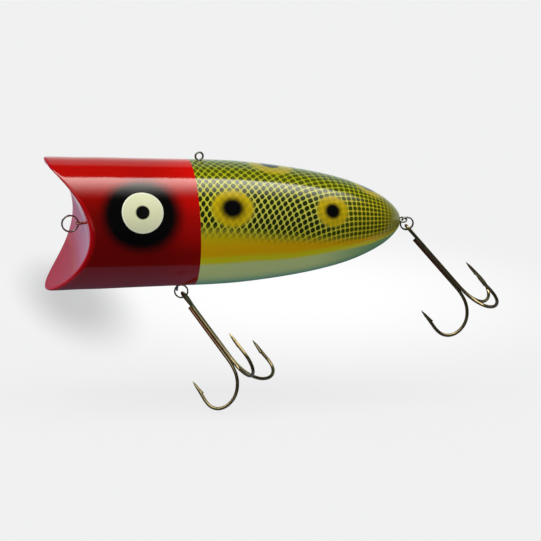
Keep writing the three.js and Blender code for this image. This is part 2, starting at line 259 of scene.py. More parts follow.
def finish_material(mat, inputs, height, strength, depth):
    """closes a material with a bumped principled shader; depth is in metres"""
    normal = compute("ShaderNodeBump",
                     {"Strength": strength, "Distance": depth, "Height": height})
    bsdf = add_node(mat.node_tree, "ShaderNodeBsdfPrincipled", {**inputs, "Normal": normal})
    add_node(mat.node_tree, "ShaderNodeOutputMaterial", {0: Value(bsdf.outputs[0])})
    return mat


def body_coords(coords):
    """station, y, z and radius in mm, and the angle above the flank in degrees"""
    x, y, z = (axis * 1000.0 for axis in split(coords))
    angle = calc("ARCTAN2", z, y.abs()) * (180 / pi)
    return x + ORIGIN_X, y, z, length(y, z), angle


# ---------------------------------------------------------------- body outline
def outline_slopes():
    """slope at each profile point; the end slope is steepened"""
    steps = [(b[0] - a[0], (b[1] - a[1]) / (b[0] - a[0])) for a, b in zip(PROFILE, PROFILE[1:])]
    middle = [(d0 * h1 + d1 * h0) / (h0 + h1) for (h0, d0), (h1, d1) in zip(steps, steps[1:])]
    return [steps[0][1], *middle, steps[-1][1] * 1.25]


SLOPES = outline_slopes()


def body_radius(x):
    """radius at a station, by a cubic between profile points"""
    if x <= PROFILE[0][0]:
        return PROFILE[0][1]
    if x >= PROFILE[-1][0]:
        return PROFILE[-1][1]
    i = next(i for i in range(len(PROFILE) - 1) if x <= PROFILE[i + 1][0])
    (x0, r0), (x1, r1) = PROFILE[i], PROFILE[i + 1]
    h = x1 - x0
    t = (x - x0) / h
    return ((2 * t**3 - 3 * t**2 + 1) * r0 + (t**3 - 2 * t**2 + t) * h * SLOPES[i]
            + (-2 * t**3 + 3 * t**2) * r1 + (t**3 - t**2) * h * SLOPES[i + 1]) - PROFILE_INSET


def scoop(y, z):
    """station of the bare scoop; takes numbers or shader values"""
    return (SCOOP_DEPTH - z * SCOOP_Z - z * z * SCOOP_ZZ - z * z * z * SCOOP_ZZZ
            - y * y * SCOOP_YY)


def mouth_x(y, z):
    """station of the mouth surface, soft where the scoop meets the cut-off lips"""
    x = scoop(y, z)
    h = max(0.0, min(1.0, 0.5 + 0.5 * (x - LIP_X) / LIP_BLEND))
    return LIP_X * (1 - h) + x * h + LIP_BLEND * h * (1 - h) * 0.5


# ---------------------------------------------------------------- mesh helpers
def shade(mesh, sharp, fix_normals):
    """smooth faces, with sharp edges above an angle in degrees"""
    bm = bmesh.new()
    bm.from_mesh(mesh)
    if fix_normals:
        bmesh.ops.recalc_face_normals(bm, faces=bm.faces)
    for face in bm.faces:
        face.smooth = True
    for edge in bm.edges:
        folded = len(edge.link_faces) == 2 and edge.calc_face_angle(0.0) > radians(sharp)
        edge.smooth = not folded
    bm.to_mesh(mesh)
    bm.free()


def make_object(name, shape, mat=None, sharp=35.0):
    """shape is a pair of vertices and faces"""
    mesh = bpy.data.meshes.new(name)
    mesh.from_pydata([tuple(v) for v in shape[0]], [], shape[1])
    mesh.validate()
    shade(mesh, sharp, fix_normals=True)
    ob = bpy.data.objects.new(name, mesh)
    bpy.context.scene.collection.objects.link(ob)
    if mat:
        mesh.materials.append(mat)
    return ob


def tell_kit(ob, rides, replaces):
    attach(ob, rides)
    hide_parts(replaces)


def grid_faces(rows, cols, looped=False):
    """quads between closed rings; looped also joins the last ring to the first"""
    faces = []
    for i in range(rows if looped else rows - 1):
        a, b = i * cols, (i + 1) % rows * cols
        for j in range(cols):
            k = (j + 1) % cols
            faces.append((a + j, a + k, b + k, b + j))
    return faces


def skin(rings, tips=None):
    """tube over rings, both ends fanned to the tips or to the ring centres"""
    cols = len(rings[0])
    verts = [v for ring in rings for v in ring]
    faces = grid_faces(len(rings), cols)
    first_tip, last = len(verts), len(verts) - cols
    verts += tips or [sum(ring, Vector((0, 0, 0))) / cols for ring in (rings[0], rings[-1])]
    for j in range(cols):
        k = (j + 1) % cols
        faces += [(first_tip, k, j), (first_tip + 1, last + j, last + k)]
    return verts, faces


def prism(rings):
    """tube over rings with a flat face at each end"""
    cols, rows = len(rings[0]), len(rings)
    faces = grid_faces(rows, cols)
    faces.append(tuple(range(cols))[::-1])
    faces.append(tuple(range((rows - 1) * cols, rows * cols)))
    return [v for ring in rings for v in ring], faces


def join(first, second):
    offset = len(first[0])
    moved = [tuple(q + offset for q in face) for face in second[1]]
    return first[0] + second[0], first[1] + moved


def smooth_path(points, pieces):
    """Catmull-Rom path through the points"""
    padded = [points[0] * 2 - points[1], *points, points[-1] * 2 - points[-2]]
    path = []
    for a, b, c, d in zip(padded, padded[1:], padded[2:], padded[3:]):
        for k in range(pieces):
            t = k / pieces
            path.append(0.5 * ((2 * b) + (c - a) * t + (2 * a - 5 * b + 4 * c - d) * t * t
                               + (3 * b - a - 3 * c + d) * t**3))
    path.append(points[-1].copy())
    return path


def distances(path):
    """length along the path at each of its points"""
    total = [0.0]
    for a, b in zip(path, path[1:]):
        total.append(total[-1] + (b - a).length)
    return total


def resample(path, step):
    """even spacing along the path"""
    total = distances(path)
    pieces = max(2, int(round(total[-1] / step)))
    even, j = [], 0
    for i in range(pieces + 1):
        s = total[-1] * i / pieces
        while j < len(total) - 2 and total[j + 1] < s:
            j += 1
        t = (s - total[j]) / max(1e-12, total[j + 1] - total[j])
        even.append(path[j].lerp(path[j + 1], t))
    return even


def frames(path, up):
    """point, tangent and two cross axes along a path, carried without twist"""
    last = len(path) - 1
    before = None
    for i, centre in enumerate(path):
        tangent = (path[min(last, i + 1)] - path[max(0, i - 1)]).normalized()
        if before:
            up = before.rotation_difference(tangent) @ up
        up = (up - tangent * up.dot(tangent)).normalized()
        yield centre, tangent, up, tangent.cross(up)
        before = tangent


def turns(count):
    """angles evenly round a circle"""
    return [2 * pi * k / count for k in range(count)]


def sweep(path, up, radii):
    """tube whose radii(i) lists the radii in mm round step i"""
    rings = []
    for i, (centre, _, u, v) in enumerate(frames(path, up)):
        row = radii(i)
        rings.append([centre + u * (r * MM * cos(a)) + v * (r * MM * sin(a))
                      for r, a in zip(row, turns(len(row)))])
    return skin(rings)


# ---------------------------------------------------------------- body paint, linear colours
# the net is draped over these stations; its numbers below are given at each of them
NET_KNOTS = (67.0, 97.0, 107.0, 129.0, 142.0)
NET_START, NET_END, NET_PIECES, NET_SUBSTEPS = 50.0, 152.0, 20, 20
# per thread family: threads per mm, threads per radian, and the slack just behind the head
NET_P = SimpleNamespace(
    density=(0.336, 0.328, 0.181, 0.0, 0.0), slant=(-7.0, -8.5, -8.7, -7.9, -7.4),
    slack=((-90, 0.70), (-30, 0.28), (-10, 0.14), (10, 0.0), (40, -0.105), (65, 0.10),
           (90, 0.54)))                          # angle, shift in threads
NET_Q = SimpleNamespace(
    density=(0.336, 0.382, 0.387, 0.523, 0.554), slant=(4.5, 3.4, 2.25, 0.0, 0.0),
    slack=((-90, 1.87), (-30, 0.724), (-10, 0.340), (0, 0.148), (10, 0.0), (20, -0.052),
           (30, 0.009), (40, 0.183), (50, 0.428), (65, 0.827), (90, 1.50)))
# station, angle of the lower edge of the net
NET_EDGE = ((50, -1.5), (72, -2.0), (86, -6.5), (106, -12.5), (130, -19.0), (152, -22.0))
# station, shift in degrees of the bands under the net
BAND_SHIFT = ((50, 0.0), (82, -1.5), (100, 0.0), (120, -2.0), (133, 1.5), (152, 3.0))
# station, angle, radius of the black spot, radius of its halo, edge softness, stretch along x
SPOTS = ((73.9, 25.3, 4.4, 7.9, 0.40, 1.12), (117.0, 24.3, 3.25, 6.7, 0.34, 1.04),
         (93.4, 90.0, 4.0, 9.8, 0.20, 1.0), (135.4, 90.0, 3.2, 7.0, 0.25, 1.0))


def at_knots(values, x):
    """linear between the net knots, level beyond them"""
    if x <= NET_KNOTS[0]:
        return values[0]
    for i in range(len(NET_KNOTS) - 1):
        if x <= NET_KNOTS[i + 1]:
            t = (x - NET_KNOTS[i]) / (NET_KNOTS[i + 1] - NET_KNOTS[i])
            return values[i] + (values[i + 1] - values[i]) * t
    return values[-1]


def thread_phase(at, family):
    """numbers the threads of one family"""
    stations = [NET_START + (NET_END - NET_START) * i / NET_PIECES
                for i in range(NET_PIECES + 1)]
    counts, total = [0.0], 0.0
    for start, end in zip(stations, stations[1:]):
        for k in range(NET_SUBSTEPS):
            x = start + (end - start) * (k + 0.5) / NET_SUBSTEPS
            total += at_knots(family.density, x) * (end - start) / NET_SUBSTEPS
        counts.append(total)
    slants = [at_knots(family.slant, x) for x in stations]
    return (curve(at.x, list(zip(stations, counts)))
            + curve(at.x, list(zip(stations, slants))) * at.turn
            + curve(at.angle, family.slack) * at.slack)


def net_dots(at):
    """1 in the open meshes of the net, 0 on its threads"""
    at.turn = (at.angle - 10.0) * (pi / 180)
    at.slack = ramp(at.x, lo=72.0, hi=97.0, at_lo=1.0, at_hi=0.0, kind="LINEAR")
    roundness = 2.4                              # 2 is a circle, more is squarer
    wander = 0.16                                # how far threads stray, in threads
    first = thread_phase(at, NET_P) + at.drift * wander
    second = thread_phase(at, NET_Q) + (noise(at.coords, scale=52.0) - 0.5) * wander
    first = (first.fract() - 0.5).abs()
    second = (second.fract() - 0.5).abs()
    across = (first.pow(roundness) + second.pow(roundness)).pow(1 / roundness)
    return fall(across - rise(at.x, lo=74.0, hi=90.0) * 0.012, lo=0.348, hi=0.474)


def spot_masks(at):
    """black spots and the halos round them"""
    black = halo = None
    for x, angle, spot_r, halo_r, soft, stretch in SPOTS:
        along = (at.x - x) / stretch
        away = length(along, arc(at.angle, angle, at.radius)) + at.fine_drift * 0.5
        spot = fall(away, lo=spot_r * (1 - soft), hi=spot_r * (1 + soft))
        ring = fall(away, lo=halo_r * 0.86, hi=halo_r * 1.12)
        black = black.max(spot) if black else spot
        halo = halo.max(ring) if halo else ring
    return black, halo


def rear_colour(at):
    """everything behind the head: belly, bands, net and spots"""
    x, angle, edge_angle = at.x, at.angle, at.edge_angle
    black, halo = spot_masks(at)
    band = angle + at.drift * 4.0 + curve(x, BAND_SHIFT)
    mesh = layered(mix(rise(angle, lo=34.0, hi=58.0), (0.015, 0.027, 0.003),
                       (0.070, 0.085, 0.002)), (
        (fall(angle - edge_angle, lo=0.0, hi=16.0), (0.085, 0.100, 0.002)),
        (rise(x, lo=104.0, hi=130.0) * 0.8, (0.065, 0.090, 0.003))))
    halo_colour = mix(rise(angle, lo=50.0, hi=82.0), (0.66, 0.46, 0.002), (0.46, 0.36, 0.010))
    tail_fade = ramp(x, lo=138.0, hi=149.0, at_lo=1.0, at_hi=0.45)
    # painted shade: the belly darkens to blue-green towards its underside; the pale green above is
    # its own colour
    belly = mix(rise(angle, lo=-68.0, hi=-42.0), (0.165, 0.455, 0.27), (0.56, 0.66, 0.25))
    colour = layered(belly, (
        (rise(x, lo=108.0, hi=140.0) * 0.8, (0.10, 0.34, 0.13)),         # greener to the tail
        (rise(band, lo=-32.5, hi=-27.0), (0.68, 0.62, 0.010)),           # lime band
        (rise(band, lo=-25.5, hi=-18.5), (0.80, 0.44, 0.0005)),          # amber band
        (rise(band, lo=-15.0, hi=0.0), (0.66, 0.50, 0.004)),
        # yellow threads of the net
        (rise(angle - edge_angle, lo=-1.0, hi=12.0), (0.64, 0.60, 0.040)),
        (rise(angle, lo=-2.0, hi=16.0) * rise(x, lo=74.0, hi=86.0)
         * fall(x, lo=118.0, hi=132.0), (0.64, 0.61, 0.085)),
        (rise(angle - edge_angle, lo=0.0, hi=14.0) * rise(x, lo=112.0, hi=134.0) * 0.75,
         (0.62, 0.48, 0.014)),
        (rise(angle, lo=32.0, hi=66.0), (0.40, 0.41, 0.010)),            # towards the back
        (rise(angle, lo=60.0, hi=82.0), (0.25, 0.30, 0.03)),
        (rise(x, lo=132.0, hi=146.0) * rise(angle, lo=-36.0, hi=-24.0) * 0.8,
         (0.44, 0.35, 0.006)),
        (halo * 0.94, halo_colour),
        (at.dots * at.edge * tail_fade * (1.0 - halo * 0.78), mesh),
        (rise(x, lo=139.0, hi=149.0) * rise(angle, lo=-30.0, hi=-18.0) * 0.6,
         (0.13, 0.17, 0.03)),
        (black, (0.0025, 0.0025, 0.003))))
    return multiply(colour, mix(at.mottle, grey(0.93), grey(1.06)))


def head_colour(at):
    """red head with painted shade (lighter on the back, darker down the flank), redder mouth, a
    rim painted brighter as a painted highlight, and the sprayed shadow round the eye
    """
    x, angle = at.x, at.angle
    plain = (1.0, 1.0, 1.0)
    # painted shade: the red is lighter towards the back and darker down the flank, as the overhead
    # light falls
    red = mix(rise(angle, lo=14.0, hi=60.0), (0.190, 0.0020, 0.0008), (0.46, 0.0025, 0.0008))
    red = multiply(red, mix(rise(x, lo=40.0, hi=60.0), plain, (1.32, 1.2, 1.2)))
    cheek = (rise(x, lo=42.0, hi=56.0) * rise(angle, lo=-20.0, hi=2.0)
             * fall(angle, lo=24.0, hi=44.0))
    red = multiply(red, mix(cheek, plain, (1.7, 1.2, 1.2)))
    inside = fall(at.radius - curve(x, PROFILE), lo=-2.2, hi=-1.5)
    behind_mouth = x - scoop(at.y, at.z).max(LIP_X)
    # painted highlight: the rim band is a brighter red where the light catches the rounded lip
    rim = fall(behind_mouth, lo=1.75, hi=2.55) * (1.0 - inside)
    # the shadow is an oval whose half axes are 17.6 along and 16.7 mm round the body
    along = x - (EYE_X - 1.0)
    around = arc(angle, EYE_ANGLE - 1.8, at.radius)
    oval = (((along / 17.6).pow(2.0) + (around / 16.7).pow(2.0)).sqrt() + at.drift * 0.06
            + (at.mottle - 0.5) * 0.03)
    front_pull = ramp(along, lo=-9.0, hi=9.0, at_lo=0.20, at_hi=0.0)
    shadow = fall(oval + front_pull * (oval - 0.6), lo=0.74, hi=1.15) * (1.0 - inside)
    # coats: the mouth inside, the rim's painted highlight, then the sprayed eye shadow
    red = layered(red, ((inside, (0.38, 0.008, 0.012)), (rim * 0.92, (0.40, 0.0015, 0.004)),
                        (shadow, (0.0022, 0.0020, 0.0022))))
    speckle = noise(at.coords, scale=700.0, detail=3.0, rough=0.6)
    return multiply(red, mix(speckle, grey(0.93), grey(1.07)))


def paint_material():
    mat, coords = new_material("lure_paint")
    x, y, z, radius, angle = body_coords(coords)
    at = SimpleNamespace(coords=coords, x=x, y=y, z=z, radius=radius.max(0.5), angle=angle)
    # soft wander of the airbrush, large and small, and mottling of the coats
    at.drift = noise(coords, scale=45.0) - 0.5
    at.fine_drift = noise(coords, scale=160.0, detail=3.0) - 0.5
    at.mottle = noise(coords, scale=900.0, detail=3.0, rough=0.6)
    at.dots = net_dots(at)
    at.edge_angle = curve(x, NET_EDGE)
    at.edge = rise(angle + at.drift * 5.0 - at.edge_angle, lo=-4.5, hi=13.0)
    behind_head = rise(x + z * 0.045 + at.fine_drift * 0.12 - 60.6, lo=-0.07, hi=0.07)
    # lengthwise rubbing marks in the clear coat
    stretched = compute("ShaderNodeMapping",
                        {"Vector": coords, "Scale": Vector((0.035, 1.0, 1.0))})
    streak = noise(stretched, scale=900.0, detail=3.0, rough=0.55)
    dull = noise(coords, scale=260.0, detail=4.0, rough=0.65) * 0.5 + streak * 0.5
    # orange peel, raised threads, the step behind the head, slow waves and streaks
    height = (noise(coords, scale=420.0) * 0.35
              + (1.0 - at.dots) * behind_head * at.edge * 0.10 + behind_head * 0.35
              + noise(coords, scale=60.0, detail=1.0) * 1.2 + streak * 0.22)
    return finish_material(mat, {
        "Base Color": mix(behind_head, head_colour(at), rear_colour(at)),
        "Roughness": mix(dull, grey(0.06), grey(0.13)),
        "Specular IOR Level": 0.42, "IOR": 1.5}, height, strength=0.10, depth=0.00035)


# ---------------------------------------------------------------- other finishes
def enamel(name, first, second, rough):
    mat, coords = new_material(name)
    colour = mix(noise(coords, scale=350.0, detail=3.0, rough=0.6), first, second)
    dull = noise(coords, scale=900.0, detail=3.0)
    return finish_material(mat, {
        "Base Color": colour,
        "Roughness": mix(dull, grey(rough * 0.8), grey(rough * 1.3)),
        "Specular IOR Level": 0.4}, noise(coords, scale=500.0), strength=0.06, depth=0.0002)


def eye_material():
    """cream enamel, paler at its outer edge as a painted highlight on the raised rim, and darker
    beside the pupil
    """
    mat, coords = new_material("eye_enamel")
    x, _, _, radius, angle = body_coords(coords)
    away = length(x - EYE_X, arc(angle, EYE_ANGLE, radius))
    cream = mix(noise(coords, scale=300.0, detail=3.0, rough=0.6),
                (0.86, 0.86, 0.53), (0.93, 0.93, 0.60))
    # painted highlight: the outer edge is paler where the raised rim catches the light
    colour = layered(cream, ((rise(away, lo=7.3, hi=8.5), (0.95, 0.96, 0.70)),
                             (fall(away, lo=2.75, hi=3.25), (0.45, 0.44, 0.24))))
    dull = noise(coords, scale=900.0, detail=3.0)
    return finish_material(mat, {
        "Base Color": colour, "Roughness": mix(dull, grey(0.10), grey(0.18)),
        "Specular IOR Level": 0.35}, noise(coords, scale=380.0), strength=0.06, depth=0.0002)


def metal(name, base, dark, rough, scale=700.0, spots=0.25, metallic=1.0, grain=0.05,
          shank=None):
    """stained metal; shank is a point and an axis along which a band is heat-stained"""
    mat, coords = new_material(name)
    coarse = noise(coords, scale=scale, detail=4.0, rough=0.6)
    fine = noise(coords, scale=scale * 4.2, detail=3.0, rough=0.6)
    stains = rise(coarse, lo=0.42, hi=0.68) * 0.7 + rise(fine, lo=0.55, hi=0.75) * spots
    colour = mix(stains, base, dark)
    if shank:
        start, axis = shank
        reach = compute("ShaderNodeVectorMath", {0: coords, 1: axis}, output="Value",
                        operation="DOT_PRODUCT")
        along = (reach - start.dot(axis)) * 1000.0 + coarse * 3.0    # mm down the shank
        band = rise(along, lo=7.0, hi=9.5) * fall(along, lo=27.0, hi=35.0)
        colour = mix(band * 0.85, colour, (0.24, 0.09, 0.04))
    return finish_material(mat, {
        "Base Color": colour, "Metallic": metallic,
        "Roughness": mix(coarse, grey(rough * 0.8), grey(rough * 1.35))},
        fine * 0.4 + coarse * 0.6, strength=grain, depth=0.0001)


def bronzed_steel(name, shank=None):
    return metal(name, base=(0.30, 0.235, 0.115), dark=(0.17, 0.15, 0.08), rough=0.15,
                 scale=300.0, spots=0.12, metallic=0.93, grain=0.025, shank=shank)


PAINT = paint_material()
CREAM = eye_material()
BLACK = enamel("pupil_enamel", first=(0.003, 0.003, 0.003), second=(0.008, 0.008, 0.008),
               rough=0.09)
NICKEL = metal("dark_nickel", base=(0.36, 0.37, 0.34), dark=(0.15, 0.155, 0.14), rough=0.17,
               metallic=0.9)
# pinkish brown nose eye: partly red paint on the eye, partly a painted reflection of the red mouth
REDDENED_METAL = metal("nose_eye_red_paint_and_reflection", base=(0.50, 0.25, 0.19), dark=(0.26, 0.12, 0.09), rough=0.26,
               metallic=0.8)
RING = metal("ring_finish", base=(0.36, 0.31, 0.21), dark=(0.15, 0.125, 0.085), rough=0.18,
             metallic=0.92)
BRAZE = metal("hook_braze", base=(0.26, 0.12, 0.06), dark=(0.13, 0.06, 0.035), rough=0.28,
              scale=900.0, metallic=0.8, grain=0.10)
LEAD = metal("cast_lead", base=(0.30, 0.31, 0.33), dark=(0.14, 0.145, 0.15), rough=0.5,
             scale=500.0)
FILLER = enamel("plug_filler", first=(0.42, 0.34, 0.22), second=(0.50, 0.42, 0.29), rough=0.5)

# ---------------------------------------------------------------- body
RIM_ROUNDING = 1.7               # rounding of the mouth rim
TAIL_FACE_X = BODY_END - 0.02
TAIL_RADIUS, TAIL_ROUNDING = 3.37, 0.7
TAIL_FACE_RADIUS = 1.5           # last ring before the centre of the tail face


def build_body():
    around, mouth_rows, wall_rows = ((288, 44, 150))
    rim_rows = 10

    def rim_station(cy, cz):
        """where the turned wall meets the mouth, by repeated substitution"""
        x = 10.0
        for _ in range(12):
            x = mouth_x(body_radius(x) * cy, body_radius(x) * cz)
        return x

    directions = [(cos(a), sin(a)) for a in turns(around)]
    rims = [rim_station(cy, cz) for cy, cz in directions]
    rings = []

    def add_ring(place):
        """place gives station and radius for a direction and its rim station"""
        ring = []
        for (cy, cz), rim in zip(directions, rims):
            x, r = place(cy, cz, rim)
            ring.append(point(x, r * cy, r * cz))
        rings.append(ring)

    def on_mouth(cy, cz, rim, share):
        r = (body_radius(rim) - RIM_ROUNDING) * share
        return mouth_x(r * cy, r * cz), r

    def on_rim(cy, cz, rim, t):
        """quadratic curve from the mouth surface over the corner to the wall"""
        start = on_mouth(cy, cz, rim, 1.0)
        corner = (rim, body_radius(rim))
        end_x = rim + RIM_ROUNDING * 1.15
        end = (end_x, body_radius(end_x))
        return [(1 - t)**2 * a + 2 * t * (1 - t) * b + t * t * c
                for a, b, c in zip(start, corner, end)]

    def on_wall(rim, t):
        start = rim + RIM_ROUNDING * 1.15
        x = start + (BODY_END - start) * (1 - (1 - t) ** 1.35)   # closer rows at the tail
        return x, body_radius(x)

    for i in range(1, mouth_rows + 1):
        add_ring(lambda cy, cz, rim: on_mouth(cy, cz, rim, (i / mouth_rows) ** 0.9))
    for i in range(1, rim_rows + 1):
        add_ring(lambda cy, cz, rim: on_rim(cy, cz, rim, i / rim_rows))
    for i in range(1, wall_rows + 1):
        add_ring(lambda cy, cz, rim: on_wall(rim, i / wall_rows))
    tail_radii = [TAIL_RADIUS - TAIL_ROUNDING + TAIL_ROUNDING * cos(k / 6 * pi / 2)
                  for k in range(2, 7)]
    for r in tail_radii + [TAIL_FACE_RADIUS]:
        add_ring(lambda cy, cz, rim: (TAIL_FACE_X, r))
    tips = [point(mouth_x(0, 0), 0, 0), point(TAIL_FACE_X, 0, 0)]
    return make_object("painted_body", skin(rings, tips), PAINT, sharp=50)


def cylinder_cutter(centre, axis, radius, height, sides):
    u = axis.orthogonal().normalized()
    v = axis.cross(u)
    rings = [[centre + axis * (height * MM * end) + u * (radius * MM * cos(a))
              + v * (radius * MM * sin(a)) for a in turns(sides)] for end in (-0.5, 0.5)]
    return make_object("cutter", prism(rings))


def cut(ob, cutters):
    for cutter in cutters:
        modifier = ob.modifiers.new("cut", "BOOLEAN")
        modifier.operation = "DIFFERENCE"
        modifier.object = cutter
        modifier.solver = "EXACT"
    graph = bpy.context.evaluated_depsgraph_get()
    mesh = bpy.data.meshes.new_from_object(ob.evaluated_get(graph))
    ob.modifiers.clear()
    ob.data = mesh
    for cutter in cutters:
        bpy.data.objects.remove(cutter)


body = build_body()
pilot = dict(radius=0.86, height=2.4, sides=32)
cut(body, [
    # wide countersink for the belly eye, then the pilot holes of mouth, tail and back
    cylinder_cutter(point(BELLY_EYE_X, 0, -26.8), Z_AXIS, radius=2.4, height=3.0, sides=48),
    cylinder_cutter(point(SCOOP_DEPTH, 0, 0), X_AXIS, **pilot),
    cylinder_cutter(point(BODY_END, 0, 0), X_AXIS, **pilot),
    cylinder_cutter(point(BACK_EYE_X, 0, 26.2), Z_AXIS, **pilot)])
shade(body.data, sharp=40, fix_normals=False)
body.data.materials.clear()
body.data.materials.append(PAINT)
tell_kit(body, "lure", "body")


# ---------------------------------------------------------------- painted eyes
def on_body(along, around, side, lift):
    """point near the eye centre, in mm along, round and out from the body"""
    x = EYE_X + along
    r = body_radius(x)
    angle = radians(EYE_ANGLE) + around / r
    return point(x, side * (r + lift) * cos(angle), (r + lift) * sin(angle))


def disc(name, side, radius, top, edge, sink, mat, sides, inner=0.0, dome=0.0):
    """round inlay that follows the body, solid or with a hole of radius inner"""
    section = []                                 # radius, height
    if inner > 0:
        section += [(inner, -sink), (inner, top - edge),
                    (inner + 0.3 * edge, top - 0.3 * edge), (inner + edge, top)]
    for i in range(1, 15):
        r = inner + edge + (radius - edge - inner - edge) * i / 14
        section.append((r, top + dome * (1 - (r / radius) ** 2)))
    for i in range(1, 7):
        a = i / 6 * pi / 2
        section.append((radius - edge + edge * sin(a), top - edge + edge * cos(a)))
    section.append((radius, -sink))
    rings = [[on_body(r * cos(a), r * sin(a), side, height) for a in turns(sides)]
             for r, height in section]
    if inner > 0:
        shape = ([v for ring in rings for v in ring],
                 grid_faces(len(rings), sides, looped=True))
    else:
        shape = skin(rings, [on_body(0, 0, side, top + dome), on_body(0, 0, side, -sink)])
    return make_object(name, shape, mat, sharp=60)


for side, tag in ((1, "left"), (-1, "right")):   # the pieces named left lie at +y
    eye = disc(f"{tag}_eye", side, radius=8.6, top=0.13, edge=0.22, sink=0.5, inner=2.62,
               mat=CREAM, sides=96)
    tell_kit(eye, "lure", f"{tag}_eye_disc")
    pupil = disc(f"{tag}_pupil_dot", side, radius=2.72, top=0.13, edge=0.12, sink=0.3,
                 dome=0.08, mat=BLACK, sides=64)
    tell_kit(pupil, "lure", f"{tag}_pupil")

# ---------------------------------------------------------------- screw eyes
CORE = 0.60                      # radius of the threaded part
THREAD_PITCH, THREAD_RIDGE = 1.9, 0.17
SHANK_LENGTH, SHANK_OVERLAP = 15.0, 0.7
SHANK_STEPS, SHANK_SIDES = 150, 28
WIRE_END = (0.98, 0.93, 0.80)    # radius factors where the wire end is eased


def across_x(degrees):
    """direction in the yz plane, from +y towards +z"""
    return Vector((0, cos(radians(degrees)), sin(radians(degrees))))


def across_z(degrees):
    """direction in the xy plane, from +y towards +x"""
    return Vector((sin(radians(degrees)), cos(radians(degrees)), 0))


def shank_radii(i):
    """radii round the shank with its helical thread and tapered end"""
    full = SHANK_LENGTH + SHANK_OVERLAP
    depth = i / SHANK_STEPS * full
    if depth < 1.1:
        return [EYE_WIRE + (CORE - EYE_WIRE) * max(0.0, (depth - 0.3) / 0.8)] * SHANK_SIDES
    left = full - depth
    fade = min(1.0, (depth - 1.1) / 1.2) * min(1.0, max(0.0, left / 2.6))
    core = CORE * min(1.0, max(0.12, left / 3.0))
    row = []
    for k in range(SHANK_SIDES):
        phase = (depth / THREAD_PITCH + k / SHANK_SIDES) % 1.0
        row.append(core + THREAD_RIDGE * max(0.0, 1 - abs(phase - 0.5) / 0.2) * fade)
    return row


def screw_eye(name, replaces, centre, loop_r, neck, shank, across, mat, tear=False):
    """wire loop on a threaded shank; returns the point of the loop furthest from the shank"""
    def at(a, b):
        return centre + across * (a * MM) - shank * (b * MM)

    keys = [at(0, -neck - 0.3), at(0.0, -neck + 0.1)]
    start, end = (-34, 212) if tear else (-72, 244)
    for i in range(25):
        a = radians(start + (end - start) * i / 24)
        keys.append(at(loop_r * cos(a), loop_r * sin(a)))
    if tear:                                     # the bent end comes down to the neck
        keys += [at(-0.86, -neck + 0.62), at(-0.80, -neck + 0.22)]
    path = resample(smooth_path(keys, 8), 0.13 * MM)
    scales = [1.0] * (len(path) - len(WIRE_END)) + list(WIRE_END)
    loop = sweep(path, across.cross(-shank), lambda i: [EYE_WIRE * scales[i]] * 20)
    top = -(neck + 0.4) + SHANK_OVERLAP
    line = [at(0, top - (SHANK_LENGTH + SHANK_OVERLAP) * i / SHANK_STEPS)
            for i in range(SHANK_STEPS + 1)]
    shape = join(loop, sweep(line, across, shank_radii))
    tell_kit(make_object(name, shape, mat, sharp=48), "lure", replaces)
    return at(0, loop_r)


nose_hold = screw_eye("nose_eye", "nose_screw_eye", point(14.18, 0, 0), loop_r=1.3, neck=3.0,
                      shank=X_AXIS, across=across_x(0), mat=REDDENED_METAL)
tail_hold = screw_eye("tail_eye", "tail_screw_eye", point(151.75, 0, 0), loop_r=1.55, neck=2.2,
                      shank=-X_AXIS, across=across_x(28), mat=NICKEL)
screw_eye("back_eye", "top_screw_eye", point(BACK_EYE_X, 0, 27.9), loop_r=1.62, neck=2.0,
          shank=-Z_AXIS, across=across_z(84), mat=NICKEL, tear=True)
belly_hold = screw_eye("belly_eye", "belly_screw_eye", point(BELLY_EYE_X, 0, -27.6),
                       loop_r=1.55, neck=2.2, shank=Z_AXIS, across=across_z(14), mat=NICKEL)

# ---------------------------------------------------------------- split rings
HOOK_RING_OUTER, HOOK_RING_INNER = 6.1, 4.8      # diameters of the hook rings
RING_STEPS, RING_SIDES = 300, 20
RING_END = (0.72, 0.92, 0.99)    # size factors where the wire ends are eased
STEP_OVER = radians(26)          # arc in which one turn crosses to the other
WIRE_SQUARENESS = 0.82           # 1 is an oval section, less is squarer


def split_ring(tag, hold, towards, normal, outer, inner, height, mat, start):
    """two turns of flattened wire hanging from a hold; returns centre and normal"""
    normal = normal.normalized()
    u = (towards - normal * towards.dot(normal)).normalized()
    v = normal.cross(u)
    centre = hold + u * ((inner / 2 - EYE_WIRE - 0.14) * MM)
    wide = (outer - inner) / 2 * 0.97
    thick = height / 2 * 0.965
    first, last = 0.02, 4 * pi - STEP_OVER - 0.05
    rings = []
    for i in range(RING_STEPS + 1):
        a = first + (last - first) * i / RING_STEPS
        q = min(1.0, max(0.0, (a - (2 * pi - STEP_OVER)) / STEP_OVER))
        level = -0.5 + q * q * (3 - 2 * q)
        outward = u * cos(a + start) + v * sin(a + start)
        middle = centre + outward * ((outer + inner) / 4 * MM) + normal * (level * height / 2 * MM)
        near = min(i, RING_STEPS - i)
        size = (RING_END[near] if near < len(RING_END) else 1.0) * MM / 2
        rings.append([
            middle + outward * (copysign(abs(cos(b)) ** WIRE_SQUARENESS, cos(b)) * wide * size)
            + normal * (copysign(abs(sin(b)) ** WIRE_SQUARENESS, sin(b)) * thick * size)
            for b in turns(RING_SIDES)])
    ob = make_object(f"{tag}_ring", skin(rings), mat, sharp=50)
    tell_kit(ob, f"{tag}_ring", f"{tag}_split_ring")
    return centre, normal


